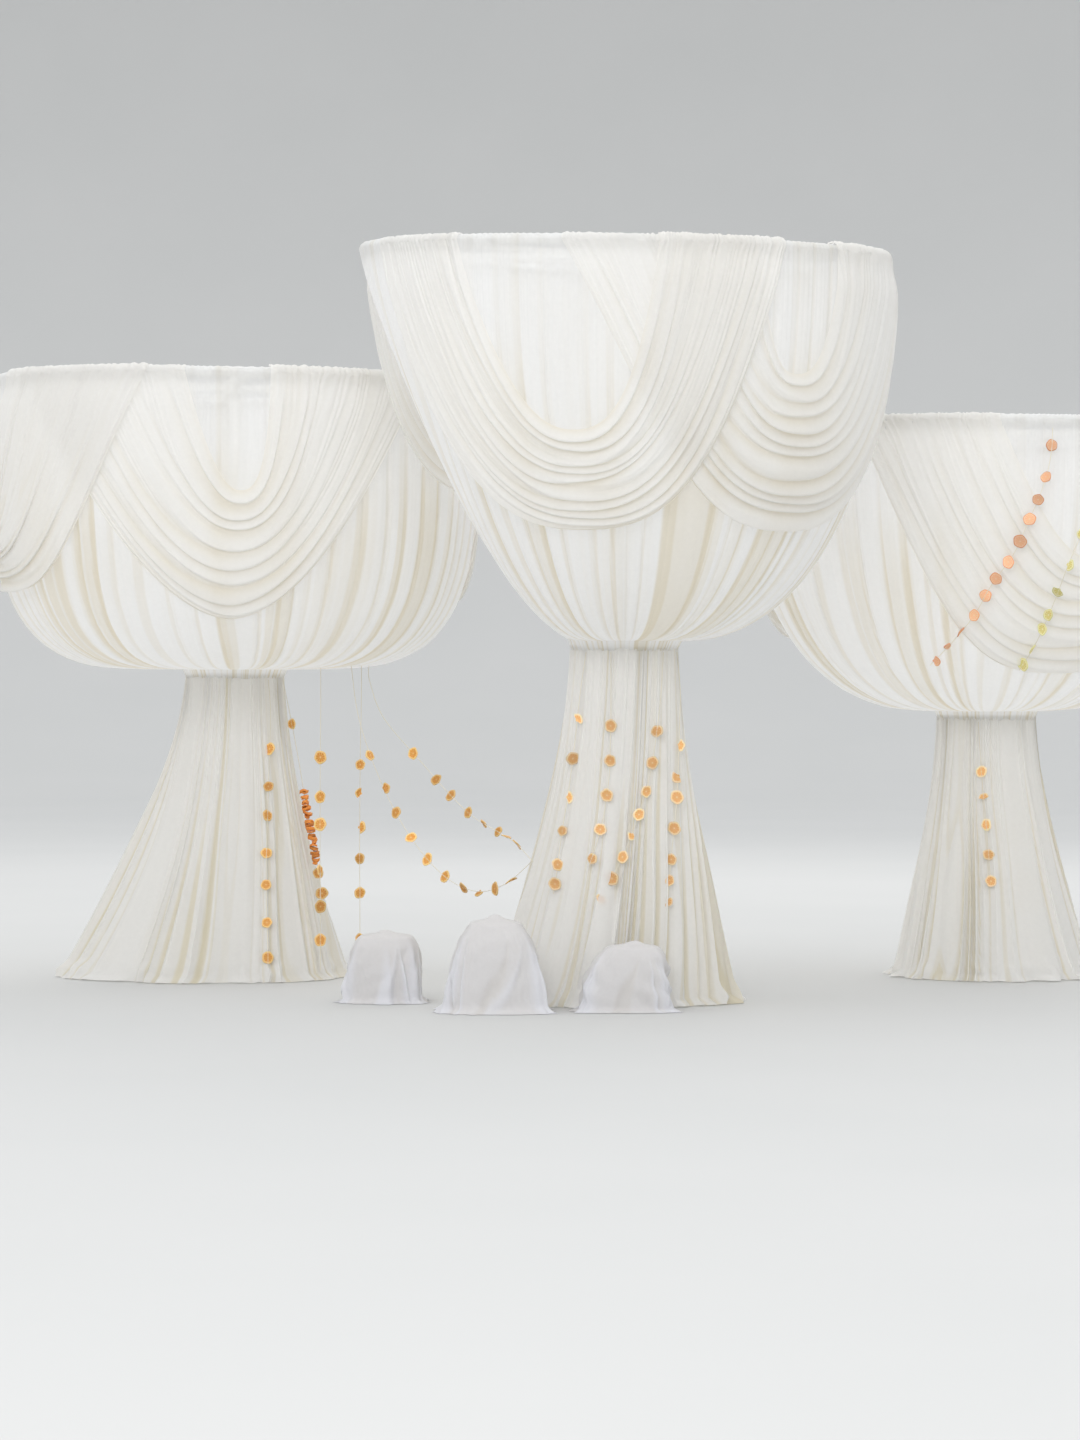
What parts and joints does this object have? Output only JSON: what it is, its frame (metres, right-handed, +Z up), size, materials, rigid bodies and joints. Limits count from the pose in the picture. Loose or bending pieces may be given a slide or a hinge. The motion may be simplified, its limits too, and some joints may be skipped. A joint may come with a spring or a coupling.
{
  "type": "chuppah canopy of draped stands",
  "caption": "Wedding canopy of goblet-shaped draped stands: ring-topped masts with sheer bowls, swags, floor-length skirts, covered weights and strings of dried fruit slices.",
  "frame": {"origin": "middle of the underside of the centre stand's base plate, on the ground", "axes": "+X to the right across the stands, +Y from the front to the back, +Z up"},
  "size_m": [5.4544, 3.7116, 3.0807],
  "materials": {
    "base_steel": "satin",
    "white_metal": "satin white",
    "liner": "sheer chiffon",
    "swag": "sheer chiffon, folded",
    "skirt": "chiffon",
    "weight_cover": "matt cloth",
    "dried_fruit": "dry, matt"
  },
  "bodies": {
    "root": {"centre_base_plate": "base_steel", "centre_mast": "white_metal", "centre_hub_arms": "white_metal", "centre_ring": "white_metal", "centre_waist_hoop": "white_metal", "centre_liner": "liner", "centre_liner_gather": "liner", "centre_skirt": "skirt", "centre_swag_1": "swag", "centre_swag_2": "swag", "centre_swag_3": "swag", "centre_swag_4": "swag", "centre_swag_5": "swag", "left_base_plate": "base_steel", "left_mast": "white_metal", "left_hub_arms": "white_metal", "left_ring": "white_metal", "left_waist_hoop": "white_metal", "left_liner": "liner", "left_liner_gather": "liner", "left_skirt": "skirt", "left_swag_1": "swag", "left_swag_2": "swag", "left_swag_3": "swag", "left_swag_4": "swag", "left_swag_5": "swag", "right_base_plate": "base_steel", "right_mast": "white_metal", "right_hub_arms": "white_metal", "right_ring": "white_metal", "right_waist_hoop": "white_metal", "right_liner": "liner", "right_liner_gather": "liner", "right_skirt": "skirt", "right_swag_1": "swag", "right_swag_2": "swag", "right_swag_3": "swag", "right_swag_4": "swag", "right_swag_5": "swag", "weight_cover_tall": "weight_cover", "weight_cover_low": "weight_cover", "weight_cover_back": "weight_cover", "left_string_1": "dried_fruit", "left_string_2": "dried_fruit", "left_string_3": "dried_fruit", "left_string_4": "dried_fruit", "link_string": "dried_fruit", "link_string_2": "dried_fruit", "centre_string_1": "dried_fruit", "centre_string_2": "dried_fruit", "centre_string_3": "dried_fruit", "centre_string_4": "dried_fruit", "right_string_1": "dried_fruit", "right_string_2": "dried_fruit", "right_string_3": "dried_fruit"}
  },
  "joints": []
}
